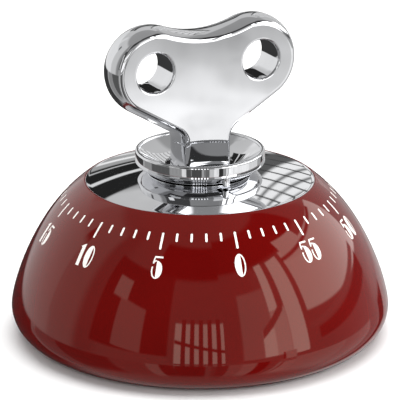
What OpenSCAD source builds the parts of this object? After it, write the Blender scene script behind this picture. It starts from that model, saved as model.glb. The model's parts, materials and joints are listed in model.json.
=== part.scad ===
// Wind-up kitchen timer: a round enamelled body with a chrome top plate, and a chrome key on a cup.
// Millimetres, +Z up. The origin is on the table under the key's axis, and the 0 mark faces -Y.

/* [Body] */
// Largest diameter of the round body
body_d = 90; // [84:1:110]
// Height of the top plate's edge above the table
plate_edge_z = 37.7; // [36.5:0.1:46]
// Diameter of the chrome top plate
plate_d = 54.4; // [50:0.1:60]
// Height of the widest line of the body
widest_z = 7.2; // [6.6:0.1:9]
// Wall thickness of the dome
wall = 2.4; // [1.8:0.1:3]
// Radius of the plate's spherical crown
crown_r = 132; // [110:1:200]
// Thickness of the pressed top plate
plate_t = 1.2; // [1:0.1:1.5]

/* [Base] */
// How far the rubber foot lifts the base off the table
foot_lift = 0.6; // [0.4:0.1:1.2]
// Thickness of the base plate
base_t = 2.4; // [2.2:0.1:3]
// Outer diameter of the rubber foot ring
foot_d = 62; // [56:1:64]
// Width of the rubber foot ring
foot_w = 5; // [3:0.5:6]

/* [Key and cup] */
// Diameter of the cup's rim
cup_d = 30.6; // [28:0.1:34]
// Height of the cup's vertical band
cup_band_h = 2.9; // [2:0.1:4]
// Height of the cup's tapered underside
cup_taper_h = 2.25; // [1.5:0.05:3]
// Distance between the two finger holes of the key
key_hole_pitch = 27.4; // [24:0.1:32]
// Diameter of each finger hole
key_hole_d = 9.4; // [8:0.1:12]
// Radius of the key's two round lobes
key_lobe_r = 10.7; // [9.5:0.1:11.5]
// Thickness of the key
key_t = 9.2; // [8:0.1:11]
// How far the key's side stands out at mid thickness
key_bulge = 1.4; // [0.5:0.1:2]
// Width of the key's neck at mid thickness
key_neck_w = 13.8; // [12:0.1:15]
// Height of the key's top above the cup's rim
key_rise = 31.4; // [29:0.1:36]
// Angle from the 0 mark at which the index pin stops, just past zero
rest_deg = 9.5; // [6:0.5:18]
// Angle between the index pin and the key's flat face
key_set_deg = 2.5; // [0:0.5:8]
// How far the key turns from one stop to the other
travel_deg = 340; // [336:1:340]

/* [Movement] */
// Radius of the two movement plates
frame_r = 29; // [28.6:0.1:30]
// Thickness of each movement plate
frame_t = 1.2; // [1:0.1:1.4]
// Clear height between the movement plates
frame_gap = 13.8; // [13.8:0.1:14.4]
// Length of the spacers between the base plate and the movement
spacer_h = 4; // [3.8:0.1:5]
// Radius of the main arbor
arbor_r = 2; // [1.6:0.1:2.4]
// Radial clearance of every turning fit
fit = 0.05; // [0.02:0.01:0.1]
// Gap left between moving pieces that only pass each other
gap = 0.3; // [0.2:0.05:0.4]

/* [Gear train] */
// Teeth of the great wheel, the second wheel and the third wheel
wheel_teeth = [64, 60, 48];
// Leaves of each pinion
leaves = 8; // [7:1:10]
// Tooth module of the three gear pairs
modules = [0.40, 0.35, 0.35];
// Teeth of the escape wheel
escape_teeth = 15; // [15:1:18]
// Teeth of the ratchet wheel
ratchet_teeth = 24; // [20:1:30]

/* [Bell] */
// Outer radius of the gong
gong_r = 11; // [9:0.5:11]
// Height of the gong
gong_h = 5.8; // [4.5:0.1:6]

/* [Hidden] */
$fn = 64;

// ---- heights, from the table up ----
base_z = foot_lift;
base_top = base_z + base_t;
flange_t = 1.8;
lower_z = base_top + spacer_h;
lower_top = lower_z + frame_t;
upper_z = lower_top + frame_gap;
upper_top = upper_z + frame_t;
crown_z = plate_edge_z + crown_drop(plate_d / 2);
well_floor_z = crown_z - 3.3;
cup_foot_r = cup_d / 2 - 2.7;
cup_foot_z = crown_z - crown_drop(cup_foot_r) + 0.2;
cup_band_z = cup_foot_z + cup_taper_h;
cup_rim_z = cup_band_z + cup_band_h;
cup_floor_under_z = cup_foot_z + 0.6;
cup_floor_z = cup_floor_under_z + 1;
key_top_z = cup_rim_z + key_rise;

// ---- levels inside the movement, from the lower plate up ----
great_z = lower_top + 1;
great_t = 1;
ratchet_z = great_z + great_t + 0.4;
ratchet_t = 1;
second_z = ratchet_z + ratchet_t + 0.8;
wheel_t = 0.8;
cam_z = second_z + wheel_t + 0.7;
cam_t = 1;
spring_z = cam_z + cam_t + 0.6;
third_z = spring_z - 0.4;
escape_z = third_z + wheel_t + 1.8;
lever_z = escape_z - 1;
lever_t = 0.6;
roller_z = lever_z + lever_t + 0.9;
balance_z = roller_z + 1;
balance_t = 1;
hairspring_z = balance_z + balance_t + 0.4;

// ---- gear geometry ----
// A tooth: addendum, dedendum, then half widths at the pitch circle, tip and root
WHEEL_TOOTH = [0.9, 1.2, 0.22, 0.08, 0.26];
LEAF_TOOTH = [0.6, 1.2, 0.17, 0.08, 0.17];
function pair_distance(i) = modules[i] * (wheel_teeth[i] + leaves) / 2;
function pitch_r(i) = modules[i] * wheel_teeth[i] / 2;
function polar(r, a) = [r * cos(a), r * sin(a)];
function angle_of(v) = atan2(v.y, v.x);
// Direction seen from one centre at which a point lies at two known distances
function triangle_angle(near, far, opposite) =
    acos((near * near + far * far - opposite * opposite) / (2 * near * far));
function crown_drop(r) = crown_r - sqrt(crown_r * crown_r - r * r);

second_at = [pair_distance(0), 0];
third_r = 20;
third_at = polar(third_r, triangle_angle(second_at.x, third_r, pair_distance(1)));
escape_r = 21;
escape_at = polar(escape_r, angle_of(third_at) + triangle_angle(third_r, escape_r, pair_distance(2)));
escape_tip_r = 4;
pallet_pin_r = 0.25;
pallet_half_angle = 33;
pallet_ring_r = escape_tip_r + pallet_pin_r + gap;
pallet_distance = pallet_ring_r / cos(pallet_half_angle);
pallet_direction = angle_of(escape_at) + 90;
pallet_at = escape_at + polar(pallet_distance, pallet_direction);
balance_distance = 8;
balance_at = pallet_at + [-balance_distance, 0];
balance_r = 6.5;
stud_at = balance_at + polar(5.2, 200);
hammer_at = polar(16, -100);
gong_at = [-16.5, -4];
head_r = 1.8;

pillar_r = 1.7;
tenon_r = 1.1;
pillar_at = [for (a = [15, 141, 228, 312]) polar(26.4, a)];
spacer_at = [for (a = [30, 150, 270]) polar(23, a)];
base_screw_at = [for (a = [60, 180, 300]) polar(34.6, a)];
screw_r = 1.25;
head_screw_r = 2.2;
head_screw_t = 1;
pivot_r = 0.5;

// ---- body profile ----
body_r = body_d / 2;
opening_r = plate_d / 2 + 0.2;
base_r = body_r - 6.3;
base_gap = 0.2;
ledge_z = plate_edge_z - 1.3;
ledge_r = plate_d / 2 - 1.6;
ledge_t = 1.6;
// The body's side is one smooth curve from the widest line to the opening, with these two handles
side_start_handle = 0.116;
side_end_handle = 0.506;
side_end_slope = 54.3;
SIDE_STEPS = 24;

function bezier(a, b, c, d, t) =
    pow(1 - t, 3) * a + 3 * pow(1 - t, 2) * t * b + 3 * (1 - t) * t * t * c + pow(t, 3) * d;
function bezier_slope(a, b, c, d, t) =
    3 * pow(1 - t, 2) * (b - a) + 6 * (1 - t) * t * (c - b) + 3 * t * t * (d - c);
side_a = [body_r, widest_z];
side_d = [opening_r, plate_edge_z];
side_rise = plate_edge_z - widest_z;
side_b = side_a + [0, side_start_handle * side_rise];
side_c = side_d + side_end_handle * side_rise * [sin(side_end_slope), -cos(side_end_slope)];
function inward(v) = [-v.y, v.x] / norm(v);
function side_point(t, inset) =
    bezier(side_a, side_b, side_c, side_d, t)
    + inset * inward(bezier_slope(side_a, side_b, side_c, side_d, t));
// The toe is an arc under the widest line, from the base plane up
TOE_STEPS = 12;
function toe_angle(z, inset) = asin((widest_z - z) / (widest_z - inset));
function toe_point(s, z, inset) =
    [body_r - widest_z, widest_z] + polar(widest_z - inset, -toe_angle(z, inset) * (1 - s));

// ---- shared shapes ----
module at(p, z = 0) { translate([p.x, p.y, z]) children(); }
module ring(r_out, r_in, h) {
    difference() {
        cylinder(r = r_out, h = h);
        translate([0, 0, -1]) cylinder(r = r_in, h = h + 2);
    }
}
// Flat bar with a round end at each point
module bar(p, rp, q, rq) {
    a = angle_of(q - p);
    s = acos((rp - rq) / norm(q - p));
    translate(p) circle(r = rp);
    translate(q) circle(r = rq);
    polygon([p + polar(rp, a + s), p + polar(rp, a - s), q + polar(rq, a - s), q + polar(rq, a + s)]);
}
module gear_outline(teeth, m, tooth) {
    r = teeth * m / 2;
    step = 360 / teeth;
    rows = [
        [r - tooth[1] * m, -tooth[4]], [r, -tooth[2]], [r + tooth[0] * m, -tooth[3]],
        [r + tooth[0] * m, tooth[3]], [r, tooth[2]], [r - tooth[1] * m, tooth[4]]
    ];
    polygon([for (k = [0:teeth - 1]) for (p = rows) polar(p[0], (k + p[1]) * step)]);
}
// Wheel with round lightening holes between its hub and rim
module train_wheel(teeth, m, h, bore, holes) {
    r = teeth * m / 2;
    difference() {
        linear_extrude(h) gear_outline(teeth, m, WHEEL_TOOTH);
        translate([0, 0, -1]) cylinder(r = bore, h = h + 2);
        for (k = [0:holes - 1])
            rotate(k * 360 / holes) translate([r * 0.58, 0, -1]) cylinder(r = r * 0.23, h = h + 2);
    }
}
// Flat spiral strip from r_in to r_out
module spiral(r_in, r_out, turns, strip_t, h, start) {
    steps = 20 * turns;
    function radius(i) = r_in + (r_out - r_in) * i / steps;
    outer = [for (i = [0:steps]) polar(radius(i) + strip_t / 2, start + i * 18)];
    inner = [for (i = [steps:-1:0]) polar(radius(i) - strip_t / 2, start + i * 18)];
    linear_extrude(h) polygon(concat(outer, inner));
}
module screw(shank_r, shank_h, hd_r, hd_h) {
    difference() {
        cylinder(r = hd_r, h = hd_h);
        translate([-hd_r, -0.3, -1]) cube([2 * hd_r, 0.6, 1.5]);
    }
    translate([0, 0, hd_h]) cylinder(r = shank_r, h = shank_h);
}
// Hexagonal nut with a round bore
module nut(r, bore, h) {
    difference() {
        cylinder(r = r, h = h, $fn = 6);
        translate([0, 0, -1]) cylinder(r = bore, h = h + 2, $fn = 64);
    }
}

// ---- case ----
module dome_shell() {
    boss_r = 3;
    boss_h = 7;
    flange_r = frame_r + 2.5;
    inner_foot = [for (i = [0:TOE_STEPS]) toe_point(i / TOE_STEPS, base_top + flange_t, wall)];
    inner_side = [for (i = [1:SIDE_STEPS]) side_point(i / SIDE_STEPS, wall)];
    inner_top = [for (p = inner_side) if (p.y < ledge_z - ledge_t) p];
    outer_foot = [for (i = [0:TOE_STEPS]) toe_point(i / TOE_STEPS, base_z, 0)];
    outer_side = [for (i = [1:SIDE_STEPS]) side_point(i / SIDE_STEPS, 0)];
    rim_in = base_r + base_gap;
    profile = concat(
        [[rim_in, base_z]], outer_foot, outer_side,
        [[opening_r, ledge_z], [ledge_r, ledge_z], [ledge_r, ledge_z - ledge_t]],
        [for (i = [len(inner_top) - 1:-1:0]) inner_top[i]],
        [for (i = [TOE_STEPS:-1:0]) inner_foot[i]],
        [[flange_r, base_top + flange_t], [flange_r, base_top], [rim_in, base_top]]
    );
    color("darkred") difference() {
        union() {
            rotate_extrude($fn = 96) polygon(profile);
            for (p = base_screw_at) at(p, base_top + 0.6) cylinder(r = boss_r, h = boss_h - 0.6);
        }
        for (p = base_screw_at) at(p, base_top - 1) cylinder(r = screw_r, h = 6.5);
    }
}
module top_plate() {
    well_r = 8;
    color("gainsboro") difference() {
        union() {
            intersection() {
                translate([0, 0, plate_edge_z - 1.3]) cylinder(r = plate_d / 2, h = 10);
                difference() {
                    translate([0, 0, crown_z - crown_r]) sphere(r = crown_r);
                    translate([0, 0, crown_z - crown_r]) sphere(r = crown_r - plate_t);
                }
            }
            translate([0, 0, well_floor_z]) cylinder(r = well_r + plate_t, h = 2.6);
        }
        translate([0, 0, well_floor_z + plate_t]) cylinder(r = well_r, h = 10);
        translate([0, 0, well_floor_z - 1]) cylinder(r = 4 + fit, h = 10);
    }
}
module base_plate() {
    color([0.13, 0.13, 0.14]) difference() {
        translate([0, 0, base_z]) cylinder(r = base_r, h = base_t);
        translate([0, 0, base_z - 1]) ring(foot_d / 2, foot_d / 2 - foot_w, 1.8);
        for (p = concat(base_screw_at, spacer_at)) {
            at(p, base_z - 1) cylinder(r = head_screw_r + 0.1, h = head_screw_t + 1);
            at(p, base_z - 1) cylinder(r = screw_r, h = base_t + 2);
        }
    }
}
module foot_ring() {
    color([0.08, 0.08, 0.08]) ring(foot_d / 2, foot_d / 2 - foot_w, foot_lift + 0.8);
}
module base_screws() {
    color("silver") for (p = base_screw_at)
        at(p, base_z) screw(screw_r, base_t - head_screw_t + 4.5, head_screw_r, head_screw_t);
}
module movement_spacers() {
    color("silver") for (p = spacer_at) at(p, base_top) ring(2.5, screw_r, spacer_h);
}
module movement_screws() {
    shank = base_t - head_screw_t + spacer_h + frame_t;
    color("silver") for (p = spacer_at) at(p, base_z) screw(screw_r, shank, head_screw_r, head_screw_t);
}

// ---- movement frame ----
module pivot_holes(h) {
    for (p = [second_at, third_at, escape_at, pallet_at, balance_at])
        at(p, -1) cylinder(r = pivot_r + fit, h = h + 2);
    at(hammer_at, -1) cylinder(r = 1 + fit, h = h + 2);
    for (p = pillar_at) at(p, -1) cylinder(r = tenon_r, h = h + 2);
}
module lower_plate() {
    color("goldenrod") translate([0, 0, lower_z]) difference() {
        cylinder(r = frame_r, h = frame_t);
        pivot_holes(frame_t);
        translate([0, 0, -1]) cylinder(r = arbor_r + fit, h = frame_t + 2);
        for (p = spacer_at) at(p, -1) cylinder(r = screw_r, h = frame_t + 2);
        at(stop_at, -1) cylinder(r = stop_post_r, h = frame_t + 2);
        // openings that lighten the plate
        for (a = [105, 195, 250]) at(polar(16.5, a), -1) cylinder(r = 3.2, h = frame_t + 2);
    }
}
module upper_plate() {
    color("goldenrod") translate([0, 0, upper_z]) difference() {
        cylinder(r = frame_r, h = frame_t);
        pivot_holes(frame_t);
        translate([0, 0, -1]) cylinder(r = 4, h = frame_t + 2);
        at(gong_at, -1) cylinder(r = 1, h = frame_t + 2);
        at(spring_post_at, -1) cylinder(r = 0.8, h = frame_t + 2);
        at(stud_at, -1) cylinder(r = 0.6, h = frame_t + 2);
        at(return_post_at, -1) cylinder(r = 0.6, h = frame_t + 2);
        // window over the balance
        at(balance_at + polar(3.9, 40), -1) cylinder(r = 1.7, h = frame_t + 2);
        at(balance_at + polar(3.9, 140), -1) cylinder(r = 1.7, h = frame_t + 2);
    }
}
module pillars() {
    color("goldenrod") for (p = pillar_at) at(p, lower_z) {
        cylinder(r = tenon_r, h = frame_t);
        translate([0, 0, frame_t]) cylinder(r = pillar_r, h = frame_gap);
        translate([0, 0, frame_t + frame_gap]) cylinder(r = tenon_r, h = frame_t + 1.6);
    }
}
module pillar_nuts() {
    color("silver") for (p = pillar_at) at(p, upper_top) nut(2.2, tenon_r, 1.4);
}
module centre_bush() {
    color("goldenrod") difference() {
        union() {
            translate([0, 0, upper_z]) cylinder(r = 4, h = crown_z + 0.1 - upper_z);
            translate([0, 0, upper_top]) cylinder(r = 6.4, h = 1.2);
        }
        translate([0, 0, upper_z - 1]) cylinder(r = arbor_r + fit, h = crown_z);
    }
}
module centre_nut() {
    color("silver") translate([0, 0, well_floor_z + plate_t]) nut(6, 4, 1.8);
}

// ---- stop that limits the key to just under one turn ----
stop_post_r = 0.6;
stop_arm_half_w = 0.5;
stop_arm_rest = rest_deg - 90;
stop_arm_z = lower_z - 1.8;
stop_ring_r = 7.5;
stop_at = polar(stop_ring_r, stop_arm_rest + (360 - travel_deg) / 2);
module stop_post() {
    color("silver") at(stop_at, stop_arm_z) cylinder(r = stop_post_r, h = lower_top - stop_arm_z);
}
module stop_arm() {
    color("silver") translate([0, 0, stop_arm_z]) difference() {
        linear_extrude(1.2) {
            circle(r = 3.6);
            rotate(stop_arm_rest) translate([0, -stop_arm_half_w]) square([9, 2 * stop_arm_half_w]);
        }
        translate([0, 0, -1]) cylinder(r = arbor_r, h = 4);
    }
}

// ---- key and what turns with it ----
module key_collar() {
    r = cup_d / 2;
    lip = 1.1;
    recess_r = cup_foot_r - 1.4;
    lip_z = cup_rim_z - lip / 2;
    dish_foot_r = norm([key_neck_w, key_t]) / 2 + 0.3;
    color("gainsboro") difference() {
        union() {
            translate([0, 0, cup_foot_z]) cylinder(r1 = cup_foot_r, r2 = r, h = cup_taper_h);
            translate([0, 0, cup_band_z]) cylinder(r = r, h = cup_band_h - lip / 2);
            translate([0, 0, lip_z]) rotate_extrude() translate([r - lip / 2, 0])
                circle(r = lip / 2);
        }
        translate([0, 0, cup_floor_z]) cylinder(r1 = dish_foot_r, r2 = r - lip, h = lip_z - cup_floor_z);
        translate([0, 0, lip_z]) cylinder(r = r - lip, h = 10);
        translate([0, 0, cup_foot_z - 1]) cylinder(r = recess_r, h = cup_floor_under_z - cup_foot_z + 1);
        translate([0, 0, cup_foot_z - 1]) cylinder(r = arbor_r, h = 10);
        index_shape();
    }
}
index_r = 0.8;
module index_shape() {
    z = cup_foot_z + 0.1;
    h = cup_taper_h + 0.5;
    rotate(rest_deg - 90) translate([cup_d / 2 - 0.6, 0, z]) {
        cylinder(r = index_r, h = h - index_r);
        translate([0, 0, h - index_r]) sphere(r = index_r);
    }
}
module index_pin() { color("gainsboro") index_shape(); }

// Key outline in its own plane: x across, y up from the cup's floor. i shrinks it all round.
key_h = key_top_z - cup_floor_z;
lobe_at = [key_hole_pitch / 2 - 0.5, key_h - key_lobe_r];
hole_y = key_h - key_lobe_r + 0.3;
shoulder_deg = 31;
neck_fillet_r = 3.1;
saddle_drop = 2.4;
edge_r = 0.8;
FILLET_STEPS = 5;
LOBE_STEPS = 32;
SADDLE_STEPS = 7;
SIDE_SECTIONS = 4;
EDGE_SECTIONS = 3;
shoulder_out = [sin(shoulder_deg), -cos(shoulder_deg)];
// Circle tangent to both lobes whose lowest point is the saddle between them
function saddle_r(rise) =
    (lobe_at.x * lobe_at.x + rise * rise - key_lobe_r * key_lobe_r) / (2 * (key_lobe_r - rise));
saddle_rise = key_lobe_r - saddle_drop;
saddle_c = [0, lobe_at.y + saddle_rise + saddle_r(saddle_rise)];
function mirror_x(points) = [for (p = points) [-p.x, p.y]];
function reversed(points) = [for (k = [len(points) - 1:-1:0]) points[k]];
function arc(centre, r, from, to, steps) =
    [for (k = [0:steps]) centre + polar(r, from + (to - from) * k / steps)];
function key_half(i) =
    let (
        shoulder = lobe_at + key_lobe_r * shoulder_out,
        fillet_x = key_neck_w / 2 + neck_fillet_r,
        fillet_y = shoulder.y
            + ((fillet_x - shoulder.x) * shoulder_out.x - neck_fillet_r) / -shoulder_out.y,
        saddle_dir = angle_of(saddle_c - lobe_at)
    )
    concat(
        [[key_neck_w / 2 - i, 0]],
        arc([fillet_x, fillet_y], neck_fillet_r + i, 180, 90 + shoulder_deg, FILLET_STEPS),
        arc(lobe_at, key_lobe_r - i, shoulder_deg - 90, saddle_dir, LOBE_STEPS),
        [for (k = [1:SADDLE_STEPS]) saddle_c + polar(saddle_r(saddle_rise) + i,
            saddle_dir + 180 - (saddle_dir - 90) * k / SADDLE_STEPS)]
    );
function key_outline(i) =
    let (half = key_half(i), last = len(half) - 1)
    concat(half, reversed(mirror_x([for (k = [0:last - 1]) half[k]])));
module winding_key() {
    // Each section is the outline shrunk by the bulge and by the rounded edge at that depth
    half_side = concat(
        [for (k = [0:SIDE_SECTIONS]) [k / SIDE_SECTIONS * (key_t / 2 - edge_r), 0]],
        [for (k = [1:EDGE_SECTIONS]) [key_t / 2 - edge_r * (1 - sin(90 * k / EDGE_SECTIONS)),
            edge_r * (1 - cos(90 * k / EDGE_SECTIONS))]]
    );
    side = concat(reversed(mirror_x([for (k = [1:len(half_side) - 1]) half_side[k]])), half_side);
    rings = [for (q = side) [for (p = key_outline(q[1] + key_bulge * pow(2 * q[0] / key_t, 2)))
        [p.x, q[0], p.y]]];
    n = len(rings[0]);
    last = len(rings) - 1;
    walls = [for (k = [0:last - 1], j = [0:n - 1]) let (a = k * n + j, b = k * n + (j + 1) % n)
        each [[a, b, a + n], [b, b + n, a + n]]];
    caps = [[for (j = [n - 1:-1:0]) j], [for (j = [0:n - 1]) last * n + j]];
    color("gainsboro") rotate(rest_deg + key_set_deg) translate([0, 0, cup_floor_z]) difference() {
        polyhedron([for (ring = rings, p = ring) p], concat(walls, caps));
        for (side = [-1, 1]) translate([side * key_hole_pitch / 2, key_t, hole_y]) rotate([90, 0, 0]) {
            cylinder(d = key_hole_d, h = 2 * key_t);
            translate([0, 0, key_t / 2 - 0.5]) cylinder(d1 = key_hole_d + 2, d2 = key_hole_d, h = 1);
            translate([0, 0, key_t * 1.5 - 0.5]) cylinder(d1 = key_hole_d, d2 = key_hole_d + 2, h = 1);
        }
        translate([0, 0, -1]) cylinder(r = arbor_r, h = 9);
        translate([-key_neck_w, 0, key_pin_y]) rotate([0, 90, 0]) cylinder(r = key_pin_r, h = 2 * key_neck_w);
    }
}
key_pin_r = 0.75;
key_pin_y = 1.7;
module key_pin() {
    half = key_neck_w / 2 - 0.2;
    color("silver") rotate(rest_deg + key_set_deg) translate([-half, 0, cup_floor_z + key_pin_y]) rotate([0, 90, 0])
        cylinder(r = key_pin_r, h = 2 * half);
}
module main_arbor() {
    bottom = stop_arm_z - 0.4;
    color("silver") difference() {
        translate([0, 0, bottom]) cylinder(r = arbor_r, h = cup_floor_z + 8 - bottom);
        rotate(rest_deg + key_set_deg) translate([-arbor_r * 2, 0, cup_floor_z + key_pin_y]) rotate([0, 90, 0])
            cylinder(r = key_pin_r, h = arbor_r * 4);
    }
}
ratchet_tip_r = 5.2;
ratchet_root_r = 4.3;
module ratchet_wheel() {
    step = 360 / ratchet_teeth;
    points = [for (k = [0:ratchet_teeth - 1])
        each [polar(ratchet_root_r, k * step), polar(ratchet_tip_r, (k + 0.92) * step)]];
    color("silver") translate([0, 0, ratchet_z]) difference() {
        linear_extrude(ratchet_t) polygon(points);
        translate([0, 0, -1]) cylinder(r = arbor_r, h = 4);
    }
}
cam_r = 4.2;
cam_nose_r = 7;
module trip_cam() {
    nose = angle_of(hammer_at) + 14;
    color("goldenrod") translate([0, 0, cam_z]) difference() {
        linear_extrude(cam_t) {
            circle(r = cam_r);
            bar([0, 0], cam_r, polar(cam_nose_r - 0.7, nose), 0.7);
        }
        translate([0, 0, -1]) cylinder(r = arbor_r, h = 4);
    }
}

// ---- mainspring ----
spring_r = 11;
spring_h = 5.4;
spring_turns = 6;
spring_start = -120;
spring_post_at = polar(spring_r + 1, spring_start);
module mainspring() {
    color("steelblue") translate([0, 0, spring_z])
        spiral(arbor_r + 0.5, spring_r, spring_turns, 0.35, spring_h, spring_start);
}
module spring_post() {
    color("silver") at(spring_post_at, spring_z - 0.2) cylinder(r = 0.8, h = upper_top - spring_z + 0.2);
}

// ---- gear train ----
module great_wheel() {
    color("goldenrod") translate([0, 0, great_z]) difference() {
        train_wheel(wheel_teeth[0], modules[0], great_t, arbor_r + fit, 5);
        at(click_at, -1) cylinder(r = click_rivet_r, h = 4);
        at(click_spring_at, -1) cylinder(r = 0.4, h = 4);
    }
}
click_rivet_r = 0.7;
click_ring_r = 9.2;
click_angle = 150;
click_at = polar(click_ring_r, click_angle);
click_tip = polar(ratchet_tip_r + 0.75, click_angle - 48);
click_spring_at = polar(8.6, click_angle - 92);
module click() {
    color("silver") translate([0, 0, ratchet_z]) difference() {
        linear_extrude(ratchet_t) bar(click_at, 1.5, click_tip, 0.5);
        at(click_at, -1) cylinder(r = click_rivet_r + fit, h = 4);
    }
}
module click_rivet() {
    color("silver") at(click_at, great_z) {
        cylinder(r = click_rivet_r, h = ratchet_z + ratchet_t + 0.1 - great_z);
        translate([0, 0, ratchet_z + ratchet_t + 0.1 - great_z]) cylinder(r = 1.2, h = 0.3);
    }
}
module click_spring() {
    tip = polar(norm(click_tip) + 1.15, angle_of(click_tip));
    color("steelblue") {
        at(click_spring_at, great_z) cylinder(r = 0.4, h = ratchet_z + ratchet_t - great_z);
        translate([0, 0, ratchet_z + 0.2]) linear_extrude(0.5) bar(click_spring_at, 0.25, tip, 0.2);
    }
}
// Arbor with a leaved pinion, and a pivot at each end
module pinion_arbor(m, leaf_z, leaf_h, turned) {
    translate([0, 0, lower_z]) cylinder(r = pivot_r, h = upper_top - lower_z);
    translate([0, 0, lower_top + 0.2]) cylinder(r = stem_r(m), h = frame_gap - 0.4);
    translate([0, 0, leaf_z]) rotate(turned) linear_extrude(leaf_h) gear_outline(leaves, m, LEAF_TOOTH);
}
// Radius of the arbor above and below the leaves
function stem_r(m) = m * leaves / 2 - LEAF_TOOTH[1] * m - 0.1;
function mesh_turn(from, to) = angle_of(from - to) + 180 / leaves;
module second_wheel() {
    color("goldenrod") at(second_at, second_z) rotate(angle_of(third_at - second_at))
        train_wheel(wheel_teeth[1], modules[1], wheel_t, stem_r(modules[0]), 5);
}
module second_pinion() {
    color("silver") at(second_at)
        pinion_arbor(modules[0], great_z - 0.3, great_t + 0.6, mesh_turn([0, 0], second_at));
}
module third_wheel() {
    color("goldenrod") at(third_at, third_z) rotate(angle_of(escape_at - third_at))
        train_wheel(wheel_teeth[2], modules[2], wheel_t, stem_r(modules[1]), 5);
}
module third_pinion() {
    color("silver") at(third_at)
        pinion_arbor(modules[1], second_z - 0.3, wheel_t + 0.6, mesh_turn(second_at, third_at));
}
module escape_wheel() {
    step = 360 / escape_teeth;
    root_r = escape_tip_r - 1.2;
    points = [for (k = [0:escape_teeth - 1]) each [
        polar(root_r, (k - 0.1) * step), polar(escape_tip_r, (k + 0.3) * step),
        polar(escape_tip_r, (k + 0.38) * step), polar(root_r, (k + 0.45) * step)
    ]];
    color("goldenrod") at(escape_at, escape_z) difference() {
        linear_extrude(wheel_t) polygon(points);
        translate([0, 0, -1]) cylinder(r = stem_r(modules[2]), h = 4);
    }
}
module escape_pinion() {
    color("silver") at(escape_at)
        pinion_arbor(modules[2], third_z - 0.3, wheel_t + 0.6, mesh_turn(third_at, escape_at));
}

// ---- escapement ----
pallet_pin_at = [for (s = [-1, 1])
    escape_at + polar(pallet_ring_r, pallet_direction + s * pallet_half_angle)];
module pallet_lever() {
    fork = balance_at + [1.9, 0];
    color("goldenrod") translate([0, 0, lever_z]) difference() {
        linear_extrude(lever_t) {
            for (p = pallet_pin_at) bar(pallet_at, 0.9, p, 0.5);
            difference() {
                bar(pallet_at, 0.9, fork, 0.8);
                translate(balance_at - [0.6, 0.3]) square([2.6, 0.6]);
                translate(balance_at) circle(r = 1.5);
            }
        }
        at(pallet_at, -1) cylinder(r = 0.6, h = 4);
        for (p = pallet_pin_at) at(p, -1) cylinder(r = pallet_pin_r, h = 4);
    }
}
module pallet_pins() {
    color("silver") for (p = pallet_pin_at)
        at(p, lever_z) cylinder(r = pallet_pin_r, h = escape_z + wheel_t + 0.2 - lever_z);
}
module pallet_arbor() {
    color("silver") at(pallet_at) {
        translate([0, 0, lower_z]) cylinder(r = pivot_r, h = upper_top - lower_z);
        translate([0, 0, lower_top + 0.2]) cylinder(r = 0.6, h = frame_gap - 0.4);
    }
}
module balance_wheel() {
    hub_r = 1.3;
    rim_w = 1;
    color("goldenrod") at(balance_at, balance_z) difference() {
        union() {
            ring(balance_r, balance_r - rim_w, balance_t);
            translate([1 - balance_r, -0.5, 0]) cube([2 * balance_r - 2, 1, balance_t - 0.3]);
            cylinder(r = hub_r, h = balance_t);
        }
        translate([0, 0, -1]) cylinder(r = 0.6, h = 4);
    }
}
module balance_staff() {
    color("silver") at(balance_at) {
        translate([0, 0, lower_z]) cylinder(r = pivot_r, h = upper_top - lower_z);
        translate([0, 0, lower_top + 0.2]) cylinder(r = 0.6, h = frame_gap - 0.4);
        translate([0, 0, roller_z]) cylinder(r = 1.6, h = 0.6);
        translate([1.2, 0, lever_z + lever_t + 0.2]) cylinder(r = 0.22, h = roller_z - lever_z - lever_t);
    }
}
module hairspring() {
    color("steelblue") at(balance_at, hairspring_z) spiral(0.85, 4.4, 5, 0.12, 0.5, 200);
}
module hairspring_stud() {
    z = hairspring_z - 0.1;
    color("silver") at(stud_at, z) cylinder(r = 0.6, h = upper_top - z);
}

// ---- bell ----
gong_z = upper_top + 2.4;
gong_t = 0.9;
module bell_gong() {
    color("silver") at(gong_at, gong_z) difference() {
        union() {
            cylinder(r = gong_r, h = gong_h - 2);
            translate([0, 0, gong_h - 2]) cylinder(r1 = gong_r, r2 = gong_r - 2, h = 2);
        }
        translate([0, 0, -1]) cylinder(r = gong_r - gong_t, h = gong_h - 1.4);
        translate([0, 0, gong_h - 2.41]) cylinder(r1 = gong_r - gong_t, r2 = gong_r - 2.4, h = 1.51);
        translate([0, 0, -1]) cylinder(r = 1, h = 10);
    }
}
module bell_post() {
    top = gong_z + gong_h - gong_t;
    color("goldenrod") at(gong_at) difference() {
        union() {
            translate([0, 0, upper_z]) cylinder(r = 1, h = frame_t);
            translate([0, 0, upper_top]) cylinder(r = 2, h = top - upper_top);
        }
        translate([0, 0, top - 3]) cylinder(r = 1, h = 4);
    }
}
module bell_screw() {
    top = gong_z + gong_h;
    color("silver") at(gong_at, top - gong_t - 3) {
        cylinder(r = 1, h = 3 + gong_t);
        translate([0, 0, 3 + gong_t]) difference() {
            cylinder(r = 2, h = 0.9);
            translate([-3, -0.3, 0.5]) cube([6, 0.6, 1]);
        }
    }
}
hammer_level = gong_z + 0.6;
head_ring_r = gong_r + head_r + 0.4;
hammer_reach = sqrt(pow(norm(gong_at - hammer_at), 2) - head_ring_r * head_ring_r);
head_turn = acos(hammer_reach / norm(gong_at - hammer_at));
head_at = hammer_at + polar(hammer_reach, angle_of(gong_at - hammer_at) + head_turn);
tail_tip = hammer_at + polar(7.9, angle_of(-hammer_at));
return_post_at = hammer_at + polar(5.5, angle_of(head_at - hammer_at) + 62);
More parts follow.
